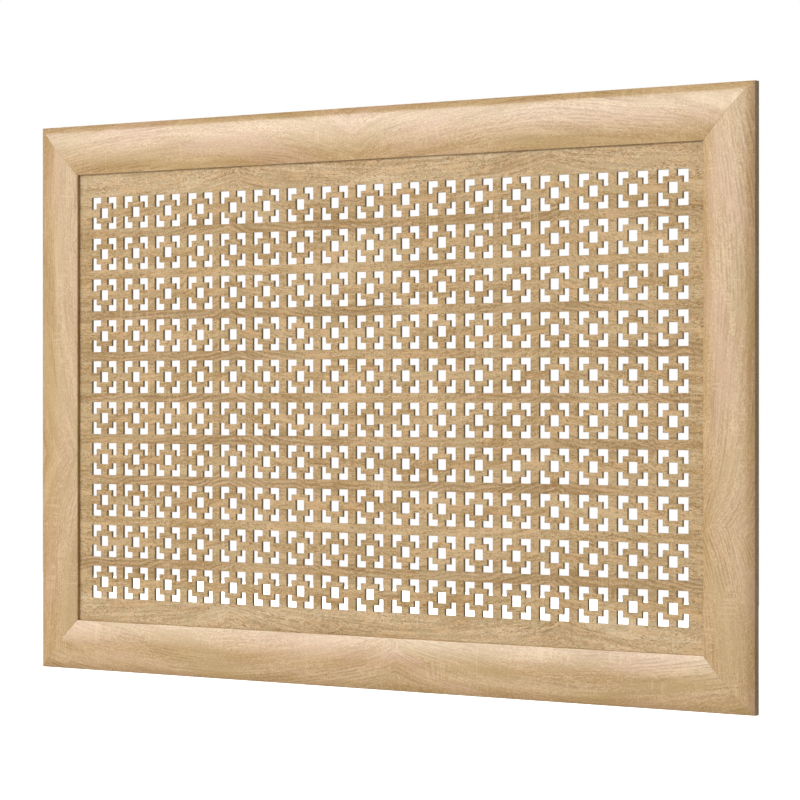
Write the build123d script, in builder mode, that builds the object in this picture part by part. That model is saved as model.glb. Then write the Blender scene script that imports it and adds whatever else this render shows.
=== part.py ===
from build123d import *
import os

# Framed fretwork radiator screen. Millimetres. X runs along the screen, Y from its front
# to its back, Z up. The origin lies on the back plane, midway between the two hanging holes.

# Whole frame
frame_width = 900
frame_height = 600

# Section of the frame moulding. "Inward" is measured from the outer edge of the frame,
# "rise" from the back plane towards the front.
rail_width = 54.5
edge_rise = 7.5
shoulder_width = 8
shoulder_rise = 11.4
crown_inward = 30
crown_rise = 14
lip_rise = 10.9
lip_rounding = 0.6

# Groove round the inside of the frame, and the panel in it
rear_lip = 4.5
groove_depth = 9
groove_width = 3.2
panel_thickness = 3
side_gap = 0.5
top_gap = 1

# Fretwork: one motif is a square hole with an L-shaped hole at each of its corners
motif_pitch = 45
motif_columns = 17
motif_rows = 10
centre_hole = 11
corner_hole = 13
corner_spacing = 22
corner_notch = 22

# V-shaped nails pressed into the back of each mitre
nail_leg = 7
nail_thickness = 0.6
nail_depth = 7
nail_inward = {"outer": 18, "inner": 40}

# Keyhole hangers let into the back of the top rail
hanging_spacing = 700
hanging_inward = 30
hanger_length = 46
hanger_height = 26
hanger_lift = 4
hanger_corner = 3
hanger_thickness = 1.5
entry_radius = 5
slot_width = 4.5
slot_travel = 8
pocket_width = 11
pocket_depth = 8

# Countersunk screws that hold the hangers
screw_spacing = 34
screw_length = 10
head_radius = 2.9
head_depth = 1.4
shank_radius = 1.5

top_edge = hanging_inward
bottom_edge = top_edge - frame_height
left_edge = -frame_width / 2
right_edge = frame_width / 2
screen_centre = (top_edge + bottom_edge) / 2
back_normal = (0, 1, 0)

os.makedirs("parts", exist_ok=True)


def write(piece, name, all_flat=False):
    """Label a finished piece and write its file.

    A piece with nothing but flat faces and straight edges needs no curves in the coordinates
    of its faces, and is written sooner without them.
    """
    piece.part.label = name
    export_step(piece.part, f"parts/{name}.step", write_pcurves=not all_flat)


# One plane on the back of the frame for each corner: x runs along the member that starts
# there, y runs inward and z points out of the back.
corners = {
    "top_left": Plane((left_edge, 0, top_edge), x_dir=(1, 0, 0), z_dir=back_normal),
    "top_right": Plane((right_edge, 0, top_edge), x_dir=(0, 0, -1), z_dir=back_normal),
    "bottom_right": Plane((right_edge, 0, bottom_edge), x_dir=(-1, 0, 0), z_dir=back_normal),
    "bottom_left": Plane((left_edge, 0, bottom_edge), x_dir=(0, 0, 1), z_dir=back_normal),
}

# Each member: the corner it starts at, the corner it ends at and its length
members = {
    "top_rail": ("top_left", "top_right", frame_width),
    "right_stile": ("top_right", "bottom_right", frame_height),
    "bottom_rail": ("bottom_right", "bottom_left", frame_width),
    "left_stile": ("bottom_left", "top_left", frame_height),
}


with BuildSketch() as moulding:  # flat side, steep shoulder, low crown and grooved lip
    with BuildLine():
        crown = ThreePointArc(
            (rail_width, lip_rise), (crown_inward, crown_rise), (shoulder_width, shoulder_rise)
        )
        TangentArc(crown @ 1, (0, edge_rise), tangent=crown % 1)
        Polyline((0, edge_rise), (0, 0), (rail_width, 0), (rail_width, lip_rise))
    make_face()
    fillet(moulding.vertices().sort_by_distance((rail_width, lip_rise))[0], radius=lip_rounding)
    with Locations((rail_width - groove_depth / 2, rear_lip + groove_width / 2)):
        Rectangle(groove_depth, groove_width, mode=Mode.SUBTRACT)

with BuildSketch() as nail_outline:  # the V of a nail, its point at the origin
    with BuildLine():
        Polyline(
            (0, 0),
            (-nail_leg, 0),
            (-nail_leg, -nail_thickness),
            (-nail_thickness, -nail_thickness),
            (-nail_thickness, -nail_leg),
            (0, -nail_leg),
            close=True,
        )
    make_face()

with BuildSketch() as hanger_outline:
    with Locations((0, hanger_lift)):
        RectangleRounded(hanger_length, hanger_height, hanger_corner)

with BuildSketch() as keyhole:  # round entry, and the slot that the frame drops down
    Circle(entry_radius)
    with Locations((0, slot_travel / 2)):
        SlotCenterToCenter(slot_travel, slot_width, rotation=90)

with BuildSketch() as head_pocket:  # room behind the hanger for the head of the wall screw
    with Locations((0, slot_travel / 2)):
        SlotCenterToCenter(slot_travel, pocket_width, rotation=90)

with BuildPart() as plain_screw:  # a countersunk screw driven in from the back
    with BuildSketch():
        with BuildLine():
            Polyline(
                (0, 0),
                (head_radius, 0),
                (shank_radius, -head_depth),
                (shank_radius, -screw_length),
                (0, -screw_length),
                close=True,
            )
        make_face()
    revolve(axis=Axis.Y)

with BuildSketch() as motif:  # a square hole with an L-shaped hole at each of its corners
    with GridLocations(corner_spacing, corner_spacing, 2, 2):
        Rectangle(corner_hole, corner_hole)
    Rectangle(corner_notch, corner_notch, mode=Mode.SUBTRACT)
    Rectangle(centre_hole, centre_hole)

hangers = {"left": -hanging_spacing / 2, "right": hanging_spacing / 2}
screw_places = (-screw_spacing / 2, screw_spacing / 2)


# Frame members: the moulding runs the whole length and is mitred at both ends
for name, (start, end, length) in members.items():
    back = corners[start]
    with BuildPart() as member:
        with BuildSketch(Plane(back.origin, x_dir=back.y_dir, z_dir=-back.x_dir)):
            add(moulding.sketch)
        extrude(amount=-length)
        with BuildSketch(back):
            with BuildLine():
                Polyline(
                    (0, 0),
                    (length, 0),
                    (length - rail_width, rail_width),
                    (rail_width, rail_width),
                    close=True,
                )
            make_face()
        extrude(amount=-crown_rise, mode=Mode.INTERSECT)
        for corner in (start, end):
            with BuildSketch(corners[corner]):
                with Locations(*[(inward, inward) for inward in nail_inward.values()]):
                    add(nail_outline.sketch)
            extrude(amount=-nail_depth, mode=Mode.SUBTRACT)
        if name == "top_rail":
            with BuildSketch(Plane.XZ):
                with Locations(*[(x, 0) for x in hangers.values()]):
                    add(hanger_outline.sketch)
            extrude(amount=hanger_thickness, mode=Mode.SUBTRACT)
            with BuildSketch(Plane.XZ):
                with Locations(*[(x, 0) for x in hangers.values()]):
                    add(head_pocket.sketch)
            extrude(amount=pocket_depth, mode=Mode.SUBTRACT)
            for x in hangers.values():
                with Locations(*[(x + place, 0, hanger_lift) for place in screw_places]):
                    add(plain_screw.part, mode=Mode.SUBTRACT)
    write(member, name)

# Fretwork panel: it stands on the floor of the bottom groove and against the rear lip
panel_inset = rail_width - groove_depth
panel_bottom = bottom_edge + panel_inset
panel_top = top_edge - panel_inset - top_gap
panel_width = frame_width - 2 * (panel_inset + side_gap)

with BuildPart() as fretwork_panel:
    with BuildSketch(Plane.XZ.offset(rear_lip)):
        with Locations((0, (panel_bottom + panel_top) / 2)):
            Rectangle(panel_width, panel_top - panel_bottom)
        with Locations((0, screen_centre)):
            with GridLocations(motif_pitch, motif_pitch, motif_columns, motif_rows):
                add(motif.sketch, mode=Mode.SUBTRACT)
    extrude(amount=panel_thickness)
write(fretwork_panel, "fretwork_panel", all_flat=True)

# V-shaped nails, two in each mitre
for corner, back in corners.items():
    for place, inward in nail_inward.items():
        with BuildPart() as v_nail:
            with BuildSketch(back):
                with Locations((inward, inward)):
                    add(nail_outline.sketch)
            extrude(amount=-nail_depth)
        write(v_nail, f"v_nail_{corner}_{place}")

# Keyhole hangers and their screws
for side, x in hangers.items():
    with BuildPart() as hanger:
        with BuildSketch(Plane.XZ):
            with Locations((x, 0)):
                add(hanger_outline.sketch)
                add(keyhole.sketch, mode=Mode.SUBTRACT)
        extrude(amount=hanger_thickness)
        with Locations(*[(x + place, 0, hanger_lift) for place in screw_places]):
            add(plain_screw.part, mode=Mode.SUBTRACT)
    write(hanger, f"keyhole_hanger_{side}")
    for number, place in enumerate(screw_places, start=1):
        with BuildPart() as screw:
            with Locations((x + place, 0, hanger_lift)):
                add(plain_screw.part)
        write(screw, f"hanger_screw_{side}_{number}")
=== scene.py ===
import math

import bmesh
import bpy
from mathutils import Matrix, Vector


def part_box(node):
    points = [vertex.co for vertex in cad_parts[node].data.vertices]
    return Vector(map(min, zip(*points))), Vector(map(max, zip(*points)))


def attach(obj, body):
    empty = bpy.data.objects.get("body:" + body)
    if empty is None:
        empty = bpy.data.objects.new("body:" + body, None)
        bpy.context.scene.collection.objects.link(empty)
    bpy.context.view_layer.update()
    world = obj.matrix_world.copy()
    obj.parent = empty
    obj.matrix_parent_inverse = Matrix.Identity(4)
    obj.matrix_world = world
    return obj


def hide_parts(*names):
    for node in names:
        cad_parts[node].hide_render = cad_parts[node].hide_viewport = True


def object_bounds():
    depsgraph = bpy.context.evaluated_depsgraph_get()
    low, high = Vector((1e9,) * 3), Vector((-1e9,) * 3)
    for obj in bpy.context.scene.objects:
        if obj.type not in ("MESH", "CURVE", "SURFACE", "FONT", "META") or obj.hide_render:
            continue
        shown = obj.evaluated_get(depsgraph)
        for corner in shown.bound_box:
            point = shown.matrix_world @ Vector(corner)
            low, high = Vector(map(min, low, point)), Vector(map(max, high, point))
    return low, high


# A flat radiator screen: four mitred mouldings round a fretwork panel, wrapped in oak foil.
# Metres. X runs along the screen, -Y is its front, Z is up.
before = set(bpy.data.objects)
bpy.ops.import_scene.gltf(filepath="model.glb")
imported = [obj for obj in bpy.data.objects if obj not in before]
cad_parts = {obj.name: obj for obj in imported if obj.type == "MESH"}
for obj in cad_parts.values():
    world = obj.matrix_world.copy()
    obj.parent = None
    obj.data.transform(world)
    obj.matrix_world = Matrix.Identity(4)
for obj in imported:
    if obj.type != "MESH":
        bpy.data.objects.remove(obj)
cadLow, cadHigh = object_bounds()
print("frame loaded")

mm = 0.001
weld = 0.002 * mm  # points closer together than this are one


class Wire:  # one output of a node; arithmetic on it adds the nodes that work it out
    def __init__(self, tree, socket=None):
        self.tree = tree
        self.socket = socket

    def node(self, kind, settings=None, inputs=None, output=0):  # output is a number or a name
        made = self.tree.nodes.new(kind)
        for name, value in (settings or {}).items():
            setattr(made, name, value)
        for name, value in (inputs or {}).items():
            if isinstance(value, Wire):
                self.tree.links.new(value.socket, made.inputs[name])
            else:
                made.inputs[name].default_value = value
        return Wire(self.tree, made.outputs[output] if made.outputs else None)

    def work(self, operation, *values):
        if any(isinstance(v, Wire) and v.socket.type == "VECTOR" for v in values):
            values = [v if isinstance(v, Wire) else (v, v, v) for v in values]
            return self.node("ShaderNodeVectorMath", {"operation": operation}, dict(enumerate(values)))
        return self.node("ShaderNodeMath", {"operation": operation}, dict(enumerate(values)))

    def __add__(self, other):
        return self.work("ADD", self, other)

    def __radd__(self, other):
        return self.work("ADD", other, self)

    def __sub__(self, other):
        return self.work("SUBTRACT", self, other)

    def __rsub__(self, other):
        return self.work("SUBTRACT", other, self)

    def __mul__(self, other):
        return self.work("MULTIPLY", self, other)

    def __rmul__(self, other):
        return self.work("MULTIPLY", other, self)

    def __truediv__(self, other):
        return self.work("DIVIDE", self, other)

    def __pow__(self, other):
        return self.work("POWER", self, other)


def linear(red, green, blue):  # a colour given in screen values from 0 to 255
    shades = [c / 255 for c in (red, green, blue)]
    return (*[c / 12.92 if c <= 0.04045 else ((c + 0.055) / 1.055) ** 2.4 for c in shades], 1)


def mixColour(start, mask, first, second):
    # this node has sockets of one name for each kind of data; the numbers are those for colours
    return start.node(
        "ShaderNodeMix",
        {"data_type": "RGBA", "clamp_factor": True},
        {0: mask, 6: first, 7: second},
        output=2,
    )


def fadeOf(value, low, high):  # 0 below low, 1 above high and smooth between them
    return value.node(
        "ShaderNodeMapRange",
        {"interpolation_type": "SMOOTHSTEP"},
        {"Value": value, "From Min": low, "From Max": high},
    )


def bumpOf(value, centre, half):  # 1 at the centre, 0 from half that far on either side
    return 1 - fadeOf(value.work("ABSOLUTE", value - centre), 0, half)


def noiseOf(place, detail=2.0, rough=0.5, distortion=0.0):
    return place.node(
        "ShaderNodeTexNoise",
        {"noise_dimensions": "3D"},
        {"Vector": place, "Scale": 1.0, "Detail": detail, "Roughness": rough, "Distortion": distortion},
    )


def partsOf(place):  # its three coordinates
    x = place.node("ShaderNodeSeparateXYZ", None, {"Vector": place})
    return [Wire(place.tree, x.socket.node.outputs[name]) for name in ("X", "Y", "Z")]


def startMaterial(name):
    material = bpy.data.materials.new(name)
    material.use_nodes = True
    material.node_tree.nodes.clear()
    return material, Wire(material.node_tree)


def closeMaterial(start, sockets, height=None, depth=0.0):
    # height is a pattern from 0 to 1, and depth how far it stands out in metres
    if height:
        sockets["Normal"] = start.node("ShaderNodeBump", None, {"Distance": depth, "Height": height})
    shader = start.node("ShaderNodeBsdfPrincipled", None, sockets)
    start.node("ShaderNodeOutputMaterial", None, {"Surface": shader})


# The oak grain. A pattern is a noise, and its row says how many times a metre it changes along
# and across the board, the level at which it is taken, and its detail. A sway has its reach
# after these, and a mask the two values between which it fades in.
grain = {
    "drift": (7, 16, 3.1, 1, 60 * mm),
    "sway": (11, 32, 8.7, 2, 9 * mm),
    "wobble": (90, 200, 1.7, 2, 1.6 * mm),
    "swell": (19, 9, 1.3, 1),
    "spacing": (60, 3, 4.4, 1),  # this one across the board first, then along it
    "streak": (14, 260, 2.2, 3),
    "fibre": (210, 620, 4.8, 2),
    "speck": (520, 700, 7.1, 1),
    "cloud": (9, 55, 7.9, 2),
    "patch": (9, 42, 6.3, 1, 0.42, 0.66),
    "pore": (210, 760, 9.9, 1, 0.55, 0.67),
    "poreField": (20, 120, 9.4, 2, 0.38, 0.62),
    "lineField": (30, 60, 5.2, 2, 0.42, 0.6),
    "tick": (520, 35, 5.5, 0, 0.52, 0.66),
    "tickField": (17, 55, 0.6, 1, 0.58, 0.68),
    "broken": (75, 330, 8.3, 1, 0.36, 0.6),
    "stripeField": (5, 20, 3.3, 2, 0.3, 0.6),
    "tintLevel": 2.6,
    "tintDetail": 2,
    "tintStretch": 4,  # how much faster the tint changes across than along
    "streakRough": 0.55,
    "fibreRough": 0.6,
    "tipRadius": 2 * mm,
    "ringDrift": 2.2,  # how far the rings shift, in rings
    "ringRise": (0.25, 0.85),  # where in each ring its dark line rises and drops
    "ringDrop": (0.88, 1.0),
    "rippleRise": (0.2, 0.75),
    "rippleDrop": (0.82, 1.0),
    "least": 0.2,  # what is left of rings, pores and stripes where their mask is 0
    "sawEvery": 107 * mm,
    "sawHalf": 0.011,  # half a saw line's width, as a share of that spacing
    "sawWobble": 0.3,
    "sawStrength": 0.45,
    "stripeWobble": 0.8,
    "rosyFade": (0.5, 0.66),
    "oliveFade": (0.34, 0.5),
    "tone": {"streak": 0.26, "fibre": 0.32, "speck": 0.38, "cloud": 0.28},
    "relief": {"fibre": 0.4, "speck": 0.2, "saw": 0.2, "pores": -0.7, "ring": -0.3},
    "poreRoughness": 0.14,
    "deepRoughness": 0.05,
}

# Oak foil: a printed and embossed film. Its grain runs in arches that are mirrored along the board.
foilLook = {
    "moulding": {
        "pale": linear(197, 168, 127),
        "deep": linear(162, 127, 80),
        "dark": linear(126, 90, 46),
        "rosy": linear(188, 153, 122),
        "olive": linear(172, 145, 95),
        "tintSpread": 9,
        "tintStrength": 0.45,
        "archEvery": 235 * mm,
        "archHeight": 60 * mm,
        "archReach": 110 * mm,
        "ringWidth": 3.7 * mm,
        "ringStrength": 0.45,
        "toneFrom": 0.48,
        "toneTo": 0.77,
        "poreStrength": 0.42,
        "stripes": {},
        "roughness": 0.21,
        "gloss": 0.5,
        "embossing": 0.035 * mm,
    },
    "panel": {
        "pale": linear(188, 162, 123),
        "deep": linear(150, 118, 71),
        "dark": linear(116, 84, 40),
        "rosy": linear(192, 158, 115),
        "olive": linear(172, 149, 110),
        "tintSpread": 40,
        "tintStrength": 0.6,
        "archEvery": 205 * mm,
        "archHeight": 34 * mm,
        "archReach": 90 * mm,
        "ringWidth": 5.2 * mm,
        "ringStrength": 0.42,
        "toneFrom": 0.535,
        "toneTo": 0.715,
        "poreStrength": 0.66,
        # darker stripes: how far each lies above and below the middle, and half its width
        "stripes": {45 * mm: 13 * mm, 90 * mm: 9 * mm, 180 * mm: 14 * mm, 0: 6 * mm},
        "stripeCore": 0.45,  # the share of that half at full strength
        "stripeStrength": 0.56,
        "rippleHeight": 24 * mm,
        "rippleWidth": 4.8 * mm,
        "rimPale": linear(198, 175, 141),
        "rimDeep": linear(161, 132, 91),
        "rimFade": (212 * mm, 222 * mm),
        "roughness": 0.62,
        "gloss": 0.3,
        "embossing": 0.06 * mm,
    },
}


def patternOf(along, across, row, rough=0.5):
    alongRate, acrossRate, level, detail = row
    axes = {"X": along * alongRate, "Y": across * acrossRate, "Z": level}
    place = along.node("ShaderNodeCombineXYZ", None, axes)
    return noiseOf(place, detail, rough)


def swayOf(along, across, row):  # a noise that moves a line to either side
    *pattern, reach = row
    return (patternOf(along, across, pattern) - 0.5) * reach


def maskOf(along, across, row):  # patches of 1 on 0, with soft edges
    *pattern, low, high = row
    return fadeOf(patternOf(along, across, pattern), low, high)


def atLeast(least, mask):  # the mask, lifted so that it goes from this least value to 1
    return mask * (1 - least) + least


def blendOf(parts, shares):  # the parts added up, each times its share
    return sum(parts[name] * share for name, share in shares.items())


def stripesOf(along, across, flow, fromMiddle, look):
    stripe = sum(
        1 - fadeOf(fromMiddle.work("ABSOLUTE", fromMiddle - far), half * look["stripeCore"], half)
        for far, half in look["stripes"].items()
    )
    stripe = stripe * maskOf(along, across, grain["stripeField"])
    # ripples run along the stripes
    swell = swayOf(along, across, (*grain["swell"], look["rippleHeight"]))
    line = flow.work("FRACT", (flow + swell) * (1 / look["rippleWidth"]))
    ripple = fadeOf(line, *grain["rippleRise"]) - fadeOf(line, *grain["rippleDrop"])
    return stripe * atLeast(grain["least"], ripple) * look["stripeStrength"]


def sawMarks(along, across, wobble):  # a few long pale lines, and ladders of short ticks
    place = along + wobble * grain["sawWobble"]
    line = bumpOf(along.work("FRACT", place * (1 / grain["sawEvery"])), 0.5, grain["sawHalf"])
    line = line * maskOf(along, across, grain["lineField"])
    ticks = maskOf(along, across, grain["tick"]) * maskOf(along, across, grain["tickField"])
    return ticks.work("MAXIMUM", ticks, line)


def oakFoil(name, look):
    material, start = startMaterial(name)
    along, across, _ = partsOf(start.node("ShaderNodeUVMap", {"uv_map": "grain"}))

    # lines rise steeply to the tip of each arch and run out nearly flat between two of them
    drift = swayOf(along, across, grain["drift"])
    fromTip = along.work("PINGPONG", along + drift, look["archEvery"]) + grain["tipRadius"]
    arch = fromTip / (fromTip + look["archReach"]) * look["archHeight"]
    sway = swayOf(along, across, grain["sway"])
    wobble = swayOf(along, across, grain["wobble"])
    flow = across + arch + sway + wobble
    spacing = patternOf(flow, along, grain["spacing"]) * grain["ringDrift"]
    phase = flow.work("FRACT", flow * (1 / look["ringWidth"]) + spacing)
    late = fadeOf(phase, *grain["ringRise"]) - fadeOf(phase, *grain["ringDrop"])

    # streaks, fibres and short pores run with those lines
    parts = {
        "streak": patternOf(along, flow, grain["streak"], grain["streakRough"]),
        "fibre": patternOf(along, flow, grain["fibre"], grain["fibreRough"]),
        "speck": patternOf(along, flow, grain["speck"]),
        "cloud": patternOf(along, flow, grain["cloud"]),
        "saw": sawMarks(along, across, wobble),
    }
    poreField = maskOf(along, flow, grain["poreField"])
    parts["pores"] = maskOf(along, flow, grain["pore"]) * atLeast(grain["least"], poreField)
    patch = maskOf(along, flow, grain["patch"])
    ring = late * maskOf(along, flow, grain["broken"]) * atLeast(grain["least"], patch)
    parts["ring"] = ring * look["ringStrength"]

    lightness = fadeOf(blendOf(parts, grain["tone"]), look["toneFrom"], look["toneTo"])
    fromMiddle = across.work("ABSOLUTE", across + (wobble + sway) * grain["stripeWobble"])
    pale, deep, dark = look["pale"], look["deep"], look["dark"]
    if look["stripes"]:
        rim = fadeOf(fromMiddle, *look["rimFade"])
        pale = mixColour(start, rim, pale, look["rimPale"])
        deep = mixColour(start, rim, deep, look["rimDeep"])
    colour = mixColour(start, lightness, deep, pale)
    spread, strength = look["tintSpread"], look["tintStrength"]
    tintRow = (spread, spread * grain["tintStretch"], grain["tintLevel"], grain["tintDetail"])
    tint = patternOf(along, flow, tintRow)
    colour = mixColour(start, fadeOf(tint, *grain["rosyFade"]) * strength, colour, look["rosy"])
    colour = mixColour(start, (1 - fadeOf(tint, *grain["oliveFade"])) * strength, colour, look["olive"])
    if look["stripes"]:
        stripe = stripesOf(along, across, flow, fromMiddle, look)
        colour = mixColour(start, stripe, colour, dark)
    colour = mixColour(start, parts["ring"], colour, dark)
    colour = mixColour(start, parts["pores"] * look["poreStrength"], colour, dark)
    colour = mixColour(start, parts["saw"] * grain["sawStrength"], colour, look["pale"])
    rough = parts["pores"] * grain["poreRoughness"] + look["roughness"]
    rough = rough + (1 - lightness) * grain["deepRoughness"]
    closeMaterial(
        start,
        {"Base Color": colour, "Roughness": rough, "Specular IOR Level": look["gloss"]},
        blendOf(parts, grain["relief"]),
        look["embossing"],
    )
    return material


boardLook = {
    "back": {"pale": linear(196, 166, 126), "deep": linear(160, 126, 86)},
    "sawn": {"pale": linear(184, 160, 120), "deep": linear(148, 126, 90)},
    "hardback": {"pale": linear(160, 126, 88), "deep": linear(122, 92, 60)},
}
boardFibre = {
    "cloudRate": 35.0,  # changes a metre
    "hairRate": 900.0,
    "fleckRate": 1700.0,
    "hairShare": 0.75,  # of the shade; the clouds make up the rest
    "shadeFade": (0.36, 0.64),
    "fleckFade": (0.62, 0.7),
    "fleckStrength": 0.35,
    "roughness": 0.72,
    "paleRoughness": 0.14,
    "hairHeight": 0.1 * mm,
}


def rawBoard(name, look):  # pressed wood fibre: short pale and dark hairs in all directions
    material, start = startMaterial(name)
    place = start.node("ShaderNodeTexCoord", output="Object")
    cloud = noiseOf(place * boardFibre["cloudRate"], detail=3)
    hair = noiseOf(place * boardFibre["hairRate"], detail=3, rough=0.65, distortion=1.2)
    fleck = fadeOf(noiseOf(place * boardFibre["fleckRate"], detail=1), *boardFibre["fleckFade"])
    share = boardFibre["hairShare"]
    shade = fadeOf(hair * share + cloud * (1 - share), *boardFibre["shadeFade"])
    colour = mixColour(start, shade, look["deep"], look["pale"])
    colour = mixColour(start, fleck * boardFibre["fleckStrength"], colour, look["deep"])
    rough = shade * boardFibre["paleRoughness"] + boardFibre["roughness"]
    closeMaterial(start, {"Base Color": colour, "Roughness": rough}, hair, boardFibre["hairHeight"])
    return material


metalLook = {
    "nail": {"pale": linear(186, 186, 184), "dull": linear(136, 134, 130), "roughness": 0.38},
    "zinc": {"pale": linear(212, 214, 216), "dull": linear(176, 181, 188), "roughness": 0.30},
    "screw": {"pale": linear(206, 204, 196), "dull": linear(170, 168, 160), "roughness": 0.26},
}
metalCoat = {
    "cloudRate": 160.0,  # changes a metre
    "scratchRates": (500, 500, 9000),
    "cloudShare": 0.7,  # of the shade
    "scratchShare": 0.3,
    "shadeFade": (0.36, 0.64),
    "dullRoughness": 0.12,
    "scratchDepth": 0.01 * mm,
}


def plainMetal(name, look):  # rolled or drawn steel with a cloudy coat and fine scratches
    material, start = startMaterial(name)
    place = start.node("ShaderNodeTexCoord", output="Object")
    cloud = noiseOf(place * metalCoat["cloudRate"], detail=3)
    stretched = {"Vector": place, "Scale": metalCoat["scratchRates"]}
    scratch = noiseOf(place.node("ShaderNodeMapping", None, stretched))
    mixed = cloud * metalCoat["cloudShare"] + scratch * metalCoat["scratchShare"]
    shade = fadeOf(mixed, *metalCoat["shadeFade"])
    colour = mixColour(start, shade, look["dull"], look["pale"])
    rough = (1 - shade) * metalCoat["dullRoughness"] + look["roughness"]
    sockets = {"Base Color": colour, "Metallic": 1.0, "Roughness": rough}
    closeMaterial(start, sockets, scratch, metalCoat["scratchDepth"])
    return material


mouldingFoil = oakFoil("oakFoilMoulding", foilLook["moulding"])
panelFoil = oakFoil("oakFoilPanel", foilLook["panel"])
boardBack = rawBoard("rawBoardBack", boardLook["back"])
boardSawn = rawBoard("rawBoardSawn", boardLook["sawn"])
hardboardBack = rawBoard("hardboardBack", boardLook["hardback"])
nailMetal = plainMetal("nailSteel", metalLook["nail"])
zincMetal = plainMetal("zincPlate", metalLook["zinc"])
screwMetal = plainMetal("screwSteel", metalLook["screw"])
print("finishes made")


def weighNormals(mesh, smoothBelow):
    # At each corner the faces that lean less than this from its own face share one normal, each
    # by its area: large faces keep theirs and the small ones between them turn from one to the next.
    around = [[] for _ in mesh.vertices]
    for face in mesh.polygons:
        for index in face.vertices:
            around[index].append((face.normal.copy(), face.area))
    least = math.cos(math.radians(smoothBelow))
    normals = []
    for face in mesh.polygons:
        for index in face.vertices:
            near = [normal * area for normal, area in around[index] if normal.dot(face.normal) > least]
            normals.append(sum(near, Vector()).normalized())
    mesh.normals_split_custom_set(normals)


def makePiece(bm, name, materials, node, smoothBelow=40):
    # turns a finished bmesh into a piece of the object that stands for one CAD node
    for face in bm.faces:
        face.smooth = True
    mesh = bpy.data.meshes.new(name)
    bm.to_mesh(mesh)
    bm.free()
    weighNormals(mesh, smoothBelow)
    for material in materials:
        mesh.materials.append(material)
    piece = bpy.data.objects.new(name, mesh)
    bpy.context.scene.collection.objects.link(piece)
    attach(piece, "root")
    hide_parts(node)
    return piece


def sharpEdges(bm, above):
    return [e for e in bm.edges if len(e.link_faces) == 2 and e.calc_face_angle() > math.radians(above)]


def roundEdges(bm, edges, offset, segments):
    bmesh.ops.bevel(
        bm, geom=edges, offset=offset, offset_type="OFFSET", segments=segments,
        profile=0.5, affect="EDGES", clamp_overlap=True, material=-1,
    )


moulding = {
    "railWidth": 54.5 * mm,
    "edgeRise": 7.5 * mm,
    "shoulder": Vector((8, 11.4)) * mm,  # inward from the outer edge, and rise from the back
    "crown": Vector((30, 14)) * mm,
    "lip": Vector((54.5, 10.9)) * mm,
    "grooveDepth": 9 * mm,
    "grooveFloor": 4.5 * mm,
    "grooveCeiling": 7.7 * mm,
    "lipRounding": 0.6 * mm,
    "edgeRounding": 0.22 * mm,
    "shoulderSteps": 8,
    "crownSteps": 26,
    "lipSteps": 4,
    "edgeSteps": 2,
    "sharpAbove": 35,  # degrees: steeper edges are rounded
    # how squarely a face must look to a side, to the front or to an end to belong to it
    "sideLean": 0.7,
    "frontLean": 0.1,
    "endLean": 0.6,
}


def arcCentre(a, b, c):  # of the circle through three points of a plane
    split = 2 * (a.x * (b.y - c.y) + b.x * (c.y - a.y) + c.x * (a.y - b.y))
    x = a.length_squared * (b.y - c.y) + b.length_squared * (c.y - a.y) + c.length_squared * (a.y - b.y)
    y = a.length_squared * (c.x - b.x) + b.length_squared * (a.x - c.x) + c.length_squared * (b.x - a.x)
    return Vector((x / split, y / split))


def drawArc(bm, vert, centre, end, steps):  # the section lies in the YZ plane
    first = vert.co.yz - centre
    last = end - centre
    turn = math.atan2(last.y, last.x) - math.atan2(first.y, first.x)
    made = bmesh.ops.spin(
        bm, geom=[vert], cent=(0, *centre), axis=(1, 0, 0), angle=turn, steps=steps
    )
    return made["geom_last"][0]


def drawLine(bm, vert, inward, rise):
    made = bmesh.ops.extrude_vert_indiv(bm, verts=[vert])["verts"][0]
    made.co = (0, inward, rise)
    return made


def drawSection(bm):
    shoulder, crown, lip = moulding["shoulder"], moulding["crown"], moulding["lip"]
    crownCentre = arcCentre(shoulder, crown, lip)
    toCentre = (crownCentre - shoulder).normalized()
    outer = Vector((0, moulding["edgeRise"]))
    chord = outer - shoulder
    shoulderCentre = shoulder + toCentre * chord.length_squared / (2 * chord.dot(toCentre))

    first = bm.verts.new((0, *outer))
    vert = drawArc(bm, first, shoulderCentre, shoulder, moulding["shoulderSteps"])
    vert = drawArc(bm, vert, crownCentre, lip, moulding["crownSteps"])
    edge = moulding["railWidth"]
    inner = edge - moulding["grooveDepth"]
    floor, ceiling = moulding["grooveFloor"], moulding["grooveCeiling"]
    for place in ((edge, ceiling), (inner, ceiling), (inner, floor), (edge, floor), (edge, 0), (0, 0)):
        vert = drawLine(bm, vert, *place)
    bm.edges.new((vert, first))
    return bmesh.ops.contextual_create(bm, geom=bm.edges[:])["faces"][0]


def wrapFoil(bm, shift):
    # the foil runs over the front, the outer side and the lip; the rest is bare board
    width, edgeRise, rounding = moulding["railWidth"], moulding["edgeRise"], moulding["lipRounding"]
    layer = bm.loops.layers.uv.new("grain")
    for face in bm.faces:
        middle = face.calc_center_median()
        outerSide = face.normal.y < -moulding["sideLean"] and middle.y < rounding
        lipSide = middle.z > moulding["grooveCeiling"] and middle.y > width - rounding
        front = face.normal.z > moulding["frontLean"] and middle.z > edgeRise - mm
        wrapped = (front or outerSide or lipSide) and abs(face.normal.x) < moulding["endLean"]
        face.material_index = 0 if wrapped else 1
        for loop in face.loops:
            x, y, z = loop.vert.co
            across = y
            if outerSide:
                across = z - edgeRise
            elif face.normal.y > moulding["sideLean"]:
                across = width + moulding["lip"].y - z
            loop[layer].uv = (x + shift.x, across + shift.y)


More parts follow.
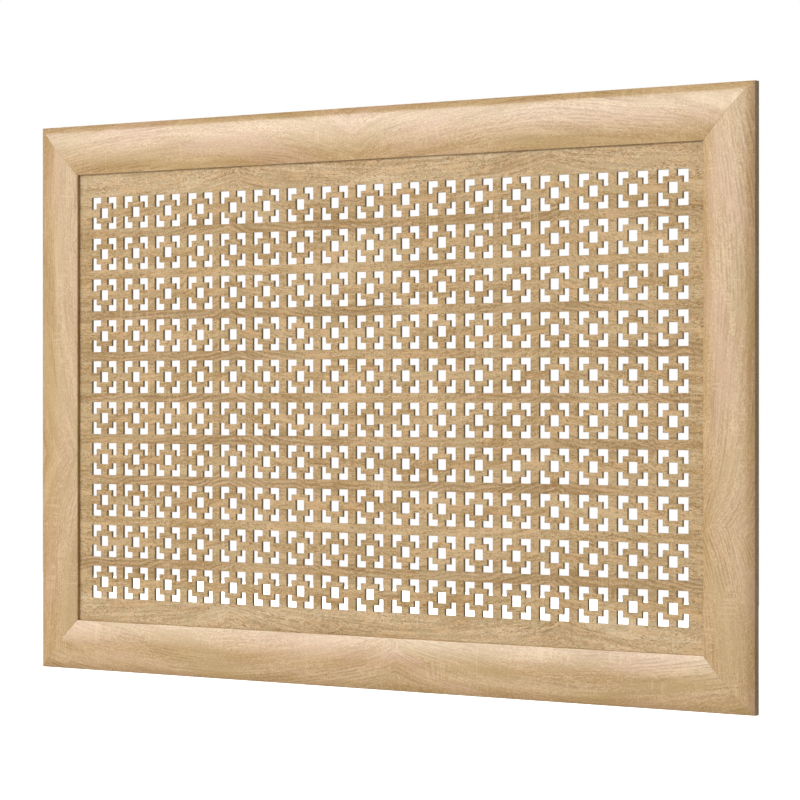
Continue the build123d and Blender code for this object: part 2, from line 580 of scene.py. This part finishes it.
# What is sunk into the back of the frame. Slots for the nails and hangers are cut a little past
# the back plane, so that no face of the cutter lies in it.
sunk = {
    "past": 1 * mm,
    "hangerGap": 0.04 * mm,
    "hangerCorner": 3 * mm,
    "pocket": Vector((5.5, 8, 5.5)) * mm,  # half its width, its depth, and how far below the entry
    "pocketTop": 13.5 * mm,
    "pocketRounding": 0.99,  # of half its width, so that the two corners of an end don't meet
    "cornerSteps": 8,
    "shankRadius": 1.5 * mm,
    "shankSides": 24,
}


def addBlock(bm, low, high, rounding):  # its edges along Y are rounded
    verts = bmesh.ops.create_cube(bm, size=1)["verts"]
    bmesh.ops.scale(bm, vec=high - low, verts=verts)
    bmesh.ops.translate(bm, vec=(low + high) / 2, verts=verts)
    edges = dict.fromkeys(edge for vert in verts for edge in vert.link_edges)  # each once, in order
    upright = [e for e in edges if abs(e.verts[0].co.y - e.verts[1].co.y) > mm]
    roundEdges(bm, upright, rounding, sunk["cornerSteps"])


def cutterFor(node):  # the solids to take out of this member
    bm = bmesh.new()
    for name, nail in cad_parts.items():
        if name.startswith("v_nail"):
            bm.from_mesh(nail.data)
    bmesh.ops.remove_doubles(bm, verts=bm.verts, dist=weld)
    back = cadHigh.y + sunk["past"]
    onBack = [v for v in bm.verts if v.co.y > cadHigh.y - weld]
    bmesh.ops.translate(bm, vec=(0, sunk["past"], 0), verts=onBack)
    if node != "top_rail":
        return bm
    for side in ("left", "right"):
        low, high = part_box("keyhole_hanger_" + side)
        middle = (low.x + high.x) / 2
        gap = Vector((sunk["hangerGap"], 0, sunk["hangerGap"]))
        addBlock(bm, low - gap, Vector((*(high + gap).xz, back)).xzy, sunk["hangerCorner"])
        half, depth, below = sunk["pocket"]
        pocketLow = Vector((middle - half, cadHigh.y - depth, -below))
        pocketHigh = Vector((middle + half, back, sunk["pocketTop"]))
        addBlock(bm, pocketLow, pocketHigh, half * sunk["pocketRounding"])
        for number in ("1", "2"):
            low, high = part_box("hanger_screw_" + side + "_" + number)
            place = Vector(((low.x + high.x) / 2, (low.y + back) / 2, (low.z + high.z) / 2))
            radius = sunk["shankRadius"]
            bmesh.ops.create_cone(
                bm, cap_ends=True, segments=sunk["shankSides"], radius1=radius, radius2=radius,
                depth=back - low.y,
                matrix=Matrix.Translation(place) @ Matrix.Rotation(math.pi / 2, 4, "X"),
            )
    return bm


def cutOut(bm, cutter, materials):  # gives a new bmesh without the cutter's solids
    for face in cutter.faces:
        face.material_index = 1
    made = []
    for name, shape in (("whole", bm), ("cutter", cutter)):
        mesh = bpy.data.meshes.new(name)
        shape.to_mesh(mesh)
        shape.free()
        for material in materials:
            mesh.materials.append(material)
        made.append(bpy.data.objects.new(name, mesh))
        bpy.context.scene.collection.objects.link(made[-1])
    whole, tool = made
    modifier = whole.modifiers.new("cut", "BOOLEAN")
    modifier.operation = "DIFFERENCE"
    modifier.solver = "EXACT"
    modifier.use_self = True
    modifier.object = tool
    cut = whole.evaluated_get(bpy.context.evaluated_depsgraph_get())
    result = bmesh.new()
    result.from_mesh(cut.to_mesh())
    cut.to_mesh_clear()
    bmesh.ops.remove_doubles(result, verts=result.verts, dist=weld)
    bmesh.ops.dissolve_degenerate(result, edges=result.edges, dist=weld)
    spare = [v for v in result.verts if len(v.link_edges) == 2]  # left in the middle of an edge
    bmesh.ops.dissolve_verts(result, verts=spare)
    for item in made:
        mesh = item.data
        bpy.data.objects.remove(item)
        bpy.data.meshes.remove(mesh)
    return result


def makeMember(name, node, corner, along, inward, length, shift):
    bm = bmesh.new()
    section = drawSection(bm)
    grown = bmesh.ops.extrude_face_region(bm, geom=[section])["geom"]
    farVerts = [v for v in grown if isinstance(v, bmesh.types.BMVert)]
    bmesh.ops.translate(bm, verts=farVerts, vec=(length, 0, 0))
    for vert in bm.verts:  # both ends are mitred
        inset = vert.co.y
        vert.co.x = inset if vert.co.x < length / 2 else length - inset
    bmesh.ops.recalc_face_normals(bm, faces=bm.faces)
    lipEdges = [e for e in bm.edges if all((v.co.yz - moulding["lip"]).length < weld for v in e.verts)]
    roundEdges(bm, lipEdges, moulding["lipRounding"], moulding["lipSteps"])
    edges = sharpEdges(bm, moulding["sharpAbove"])
    roundEdges(bm, edges, moulding["edgeRounding"], moulding["edgeSteps"])
    wrapFoil(bm, shift)
    out = along.cross(inward)
    turn = Matrix((along, inward, out)).transposed().to_4x4()
    bmesh.ops.transform(bm, matrix=Matrix.Translation(corner) @ turn, verts=bm.verts)
    materials = [mouldingFoil, boardBack]
    bm = cutOut(bm, cutterFor(node), materials)
    return makePiece(bm, name, materials, node)


xAxis, zAxis = Vector((1, 0, 0)), Vector((0, 0, 1))
wide, high = cadHigh.x - cadLow.x, cadHigh.z - cadLow.z
# each member's node, starting corner, direction, way inward, length and place in the grain
members = {
    "topRail": ("top_rail", (cadHigh.x, cadHigh.z), -xAxis, -zAxis, wide, (0.0, 0.0)),
    "leftStile": ("left_stile", (cadLow.x, cadHigh.z), -zAxis, xAxis, high, (3.4, 0.31)),
    "bottomRail": ("bottom_rail", (cadLow.x, cadLow.z), xAxis, zAxis, wide, (6.1, 0.74)),
    "rightStile": ("right_stile", (cadHigh.x, cadLow.z), zAxis, -xAxis, high, (9.7, 0.12)),
}
for name, (node, (cornerX, cornerZ), along, inward, length, shift) in members.items():
    corner = Vector((cornerX, cadHigh.y, cornerZ))
    makeMember(name, node, corner, along, inward, length, Vector(shift))
print("frame members made")


fretwork = {
    "pitch": 45 * mm,
    "columns": 17,
    "rows": 10,
    "centreHole": 11 * mm,
    "cornerHole": 13 * mm,
    "cornerSpacing": 22 * mm,
    "cornerNotch": 22 * mm,
    "rim": 0.2 * mm,
    "rimAbove": 60,  # degrees: steeper edges are rims
    "flatLean": 0.9,  # how squarely a face must look forward or back to belong to that side
    "grainShift": 13.3,  # where in the grain its foil is cut
}


def makePanel():
    low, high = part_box("fretwork_panel")
    middle = Vector(((low.x + high.x) / 2, (cadLow.z + cadHigh.z) / 2))
    innerHalf = (fretwork["cornerSpacing"] - fretwork["cornerHole"]) / 2
    outerHalf = (fretwork["cornerSpacing"] + fretwork["cornerHole"]) / 2
    centreHalf, notchHalf = fretwork["centreHole"] / 2, fretwork["cornerNotch"] / 2

    def centresOf(count, centre):
        return [centre + (i - (count - 1) / 2) * fretwork["pitch"] for i in range(count)]

    columns = centresOf(fretwork["columns"], middle.x)
    rows = centresOf(fretwork["rows"], middle.y)

    def fromMotif(value, centres):  # how far a place lies from the nearest motif's centre
        return min(abs(value - centre) for centre in centres)

    def isHole(face):
        place = face.calc_center_median()
        x, z = fromMotif(place.x, columns), fromMotif(place.z, rows)
        centre = max(x, z) < centreHalf
        corner = innerHalf < min(x, z) and max(x, z) < outerHalf and max(x, z) > notchHalf
        return centre or corner

    bm = bmesh.new()
    bmesh.ops.create_grid(bm, x_segments=1, y_segments=1, size=0.5)
    bmesh.ops.scale(bm, vec=(high.x - low.x, high.z - low.z, 1), verts=bm.verts)
    bmesh.ops.rotate(bm, matrix=Matrix.Rotation(math.pi / 2, 3, "X"), verts=bm.verts)
    bmesh.ops.translate(bm, vec=((low.x + high.x) / 2, low.y, (low.z + high.z) / 2), verts=bm.verts)
    for normal, centres in ((xAxis, columns), (zAxis, rows)):
        for centre in centres:
            for half in (innerHalf, centreHalf, notchHalf, outerHalf):
                for side in (-half, half):
                    bmesh.ops.bisect_plane(
                        bm, geom=bm.verts[:] + bm.edges[:] + bm.faces[:],
                        plane_co=normal * (centre + side), plane_no=normal, dist=weld,
                    )
    holes = [face for face in bm.faces if isHole(face)]
    bmesh.ops.delete(bm, geom=holes, context="FACES")
    grown = bmesh.ops.extrude_face_region(bm, geom=bm.faces[:], use_keep_orig=True)["geom"]
    backVerts = [v for v in grown if isinstance(v, bmesh.types.BMVert)]
    bmesh.ops.translate(bm, vec=(0, high.y - low.y, 0), verts=backVerts)
    bmesh.ops.recalc_face_normals(bm, faces=bm.faces)
    rims = sharpEdges(bm, fretwork["rimAbove"])
    frontRims = [e for e in rims if all(v.co.y < low.y + weld for v in e.verts)]
    roundEdges(bm, frontRims, fretwork["rim"], 1)

    layer = bm.loops.layers.uv.new("grain")
    for face in bm.faces:
        face.material_index = 1
        if face.normal.y < -fretwork["flatLean"]:
            face.material_index = 0
        elif face.normal.y > fretwork["flatLean"]:
            face.material_index = 2
        for loop in face.loops:
            loop[layer].uv = (loop.vert.co.x + fretwork["grainShift"], loop.vert.co.z - middle.y)
    return makePiece(
        bm, "fretworkPanel", [panelFoil, boardSawn, hardboardBack], "fretwork_panel"
    )


panel = makePanel()
print("fretwork panel made,", len(panel.data.polygons), "faces")


hanger = {
    "rounding": 0.2 * mm,
    "roundingSteps": 2,
    "flatWithin": 1,  # degrees: faces that lean less become one
    "rimAbove": 60,  # degrees: steeper edges are rims
}


def makeHanger(name, node):
    bm = bmesh.new()
    bm.from_mesh(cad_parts[node].data)
    bmesh.ops.remove_doubles(bm, verts=bm.verts, dist=weld)
    flat = math.radians(hanger["flatWithin"])
    bmesh.ops.dissolve_limit(bm, angle_limit=flat, verts=bm.verts, edges=bm.edges)
    # the edges that show are those on the back plane, but not the rims of the countersinks
    rims = sharpEdges(bm, hanger["rimAbove"])
    showing = [e for e in rims if all(v.co.y > cadHigh.y - weld for v in e.verts)]
    roundEdges(bm, showing, hanger["rounding"], hanger["roundingSteps"])
    return makePiece(bm, name, [zincMetal], node)


screw = {
    "headRadius": 2.9 * mm,
    "headDepth": 1.4 * mm,
    "shankRadius": 1.5 * mm,
    "length": 10 * mm,
    "tip": 2.5 * mm,
    "armWidth": 0.9 * mm,
    "armLength": 3.2 * mm,
    "recessDepth": 1.3 * mm,
    "recessFoot": 0.5,  # the size of its floor, as a share of its mouth
    "sides": 32,
    "turns": {  # degrees: how far each screw is turned
        "hanger_screw_left_1": 12,
        "hanger_screw_left_2": 51,
        "hanger_screw_right_1": 34,
        "hanger_screw_right_2": 70,
    },
}


def makeScrew(name, node, turnAngle):
    low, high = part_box(node)
    bm = bmesh.new()
    vert = bm.verts.new((0, 0, -screw["length"]))
    for radius, depth in (
        (screw["shankRadius"], screw["length"] - screw["tip"]),
        (screw["shankRadius"], screw["headDepth"]),
        (screw["headRadius"], 0),
    ):
        vert = bmesh.ops.extrude_vert_indiv(bm, verts=[vert])["verts"][0]
        vert.co = (radius, 0, -depth)
    bmesh.ops.spin(
        bm, geom=bm.verts[:] + bm.edges[:], cent=(0, 0, 0), axis=(0, 0, 1),
        angle=math.tau, steps=screw["sides"], use_merge=True,
    )
    bmesh.ops.remove_doubles(bm, verts=bm.verts, dist=weld)
    rim = [e for e in bm.edges if all(v.co.z > -weld for v in e.verts)]
    bmesh.ops.contextual_create(bm, geom=rim)

    # the head is cut along the sides of the cross, whose faces then go down into it
    arm, reach = screw["armWidth"] / 2, screw["armLength"] / 2
    for normal in (Vector((1, 0, 0)), Vector((0, 1, 0))):
        for place in (-reach, -arm, arm, reach):
            upper = [f for f in bm.faces if f.calc_center_median().z > -weld]
            cut = list(dict.fromkeys(item for f in upper for item in (f, *f.edges, *f.verts)))
            bmesh.ops.bisect_plane(bm, geom=cut, plane_co=normal * place, plane_no=normal)
    cross = []
    for face in bm.faces:
        place = face.calc_center_median()
        x, y = abs(place.x), abs(place.y)
        if place.z > -weld and min(x, y) < arm and max(x, y) < reach:
            cross.append(face)
    edges = list(dict.fromkeys(edge for face in cross for edge in face.edges))
    grown = bmesh.ops.extrude_face_region(bm, geom=cross + edges)["geom"]
    floorVerts = [v for v in grown if isinstance(v, bmesh.types.BMVert)]
    bmesh.ops.translate(bm, vec=(0, 0, -screw["recessDepth"]), verts=floorVerts)
    bmesh.ops.scale(bm, vec=(screw["recessFoot"], screw["recessFoot"], 1), verts=floorVerts)
    bmesh.ops.recalc_face_normals(bm, faces=bm.faces)
    centre = Vector(((low.x + high.x) / 2, high.y, (low.z + high.z) / 2))
    # the screw's own Z points out of the back, along +Y
    turn = Matrix.Rotation(-math.pi / 2, 4, "X") @ Matrix.Rotation(math.radians(turnAngle), 4, "Z")
    bmesh.ops.transform(bm, matrix=Matrix.Translation(centre) @ turn, verts=bm.verts)
    return makePiece(bm, name, [screwMetal], node)


for side in ("left", "right"):
    makeHanger("keyholeHanger" + side.capitalize(), "keyhole_hanger_" + side)
for node, turnAngle in screw["turns"].items():
    makeScrew("screw" + node.removeprefix("hanger_screw_").title().replace("_", ""), node, turnAngle)
print("hangers and screws made")

for node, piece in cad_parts.items():
    if node.startswith("v_nail"):  # the nails keep their CAD shape
        piece.data.materials.clear()
        piece.data.materials.append(nailMetal)


studio = {
    "floorDrop": 0.45,
    "floorSize": 14,
    "floorShade": 0.92,  # its colour and its glow to the camera
    "floorGlow": 0.52,
    "floorBounce": 0.4,  # its colour to all other rays
    "floorRoughness": 0.9,
    "floorLight": 2.1,  # a lit patch in front of the screen: its radiance, middle and half size
    "floorLightPlace": (-0.80, -1.30),
    "floorLightReach": (1.5, 0.9),
    "seen": 1.0,  # how bright the world is to the camera
    "ambient": 0.24,
    "fill": {"front": 0.45, "back": 0.16},  # straight on; it fades to nothing at the sides
    # The softbox, in degrees to the left of straight on and degrees up. Each pair is where an
    # edge starts to fade in or out and where it is done.
    "softboxRight": (-8, 11),
    "softboxLeft": (43, 53),
    "softboxTop": (24, 35),
    "softboxFoot": (-18, 0.8),  # degrees up, and the radiance there
    "softboxHead": (24, 9.8),
    "softboxCurve": 1.8,
    # its direction and size in degrees, its distance in metres
    "backLamp": {"left": 150, "up": 22, "wide": 50, "high": 30, "distance": 12, "radiance": 3.8},
}


def makeFloor():
    bm = bmesh.new()
    bmesh.ops.create_grid(bm, x_segments=1, y_segments=1, size=studio["floorSize"] / 2)
    bmesh.ops.translate(bm, vec=(0, 0, cadLow.z - studio["floorDrop"]), verts=bm.verts)
    mesh = bpy.data.meshes.new("studioFloor")
    bm.to_mesh(mesh)
    bm.free()
    material, start = startMaterial("paleFloor")
    bounce, shade = ((level, level, level, 1) for level in (studio["floorBounce"], studio["floorShade"]))
    seen = start.node("ShaderNodeLightPath", output="Is Camera Ray")
    x, y, _ = partsOf(start.node("ShaderNodeTexCoord", output="Object"))
    (middleX, middleY), (reachX, reachY) = studio["floorLightPlace"], studio["floorLightReach"]
    patch = bumpOf(x, middleX, reachX) * bumpOf(y, middleY, reachY)
    black, white = (0, 0, 0, 1), (1, 1, 1, 1)
    closeMaterial(
        start,
        {
            "Base Color": mixColour(start, seen, bounce, shade),
            "Roughness": studio["floorRoughness"],
            "Emission Color": mixColour(start, patch.work("MAXIMUM", patch, seen), black, white),
            "Emission Strength": seen * studio["floorGlow"] + (1 - seen) * studio["floorLight"],
        },
    )
    mesh.materials.append(material)
    floor = bpy.data.objects.new("studioFloor", mesh)
    bpy.context.scene.collection.objects.link(floor)


def makeBackLamp():
    look = studio["backLamp"]
    far = look["distance"]
    wide, high = (2 * far * math.tan(math.radians(look[side] / 2)) for side in ("wide", "high"))
    light = bpy.data.lights.new("backLamp", "AREA")
    light.shape = "RECTANGLE"
    light.size, light.size_y = wide, high
    light.energy = look["radiance"] * math.pi * wide * high
    left, up = math.radians(look["left"]), math.radians(look["up"])
    toward = Vector((-math.sin(left) * math.cos(up), -math.cos(left) * math.cos(up), math.sin(up)))
    lamp = bpy.data.objects.new("backLamp", light)
    lamp.location = (cadLow + cadHigh) / 2 + toward * far
    lamp.rotation_euler = toward.to_track_quat("Z", "Y").to_euler()
    lamp.visible_camera = False
    bpy.context.scene.collection.objects.link(lamp)


def makeWorld():  # white to look at; what lights the screen is dimmer, with one large softbox
    world = bpy.data.worlds.new("studio")
    world.use_nodes = True
    world.node_tree.nodes.clear()
    start = Wire(world.node_tree)
    x, y, z = partsOf(start.node("ShaderNodeTexCoord", output="Generated"))
    left = x.work("DEGREES", x.work("ARCTAN2", 0 - x, 0 - y))
    up = z.work("DEGREES", z.work("ARCSINE", z))
    (foot, dim), (head, bright) = studio["softboxFoot"], studio["softboxHead"]
    climb = start.node("ShaderNodeMapRange", None, {"Value": up, "From Min": foot, "From Max": head})
    softbox = (climb ** studio["softboxCurve"]) * (bright - dim) + dim
    softbox = softbox * fadeOf(left, *studio["softboxRight"])
    softbox = softbox * (1 - fadeOf(left, *studio["softboxLeft"]))
    softbox = softbox * (1 - fadeOf(up, *studio["softboxTop"]))
    fill = y.work("MAXIMUM", 0 - y, 0) * studio["fill"]["front"]
    fill = fill + y.work("MAXIMUM", y, 0) * studio["fill"]["back"]
    seen = start.node("ShaderNodeLightPath", output="Is Camera Ray")
    strength = seen * studio["seen"] + (1 - seen) * (softbox + fill + studio["ambient"])
    shader = start.node("ShaderNodeBackground", None, {"Color": (1, 1, 1, 1), "Strength": strength})
    start.node("ShaderNodeOutputWorld", None, {"Surface": shader})
    bpy.context.scene.world = world


view = {
    "place": Vector((1.8325, -2.5310, -0.2662)),
    "turn": 35.405,  # degrees to the left of straight on
    "tilt": -0.111,  # degrees up
    "lens": 136.31,
    "sensor": 36,
}


def makeCamera():
    data = bpy.data.cameras.new("camera")
    data.lens = view["lens"]
    data.sensor_width = view["sensor"]
    camera = bpy.data.objects.new("camera", data)
    camera.location = view["place"]
    camera.rotation_euler = (math.radians(90 + view["tilt"]), 0, math.radians(view["turn"]))
    bpy.context.scene.collection.objects.link(camera)
    bpy.context.scene.camera = camera


makeFloor()
makeBackLamp()
makeWorld()
makeCamera()
bpy.context.scene.view_settings.view_transform = "Standard"
print("studio ready")
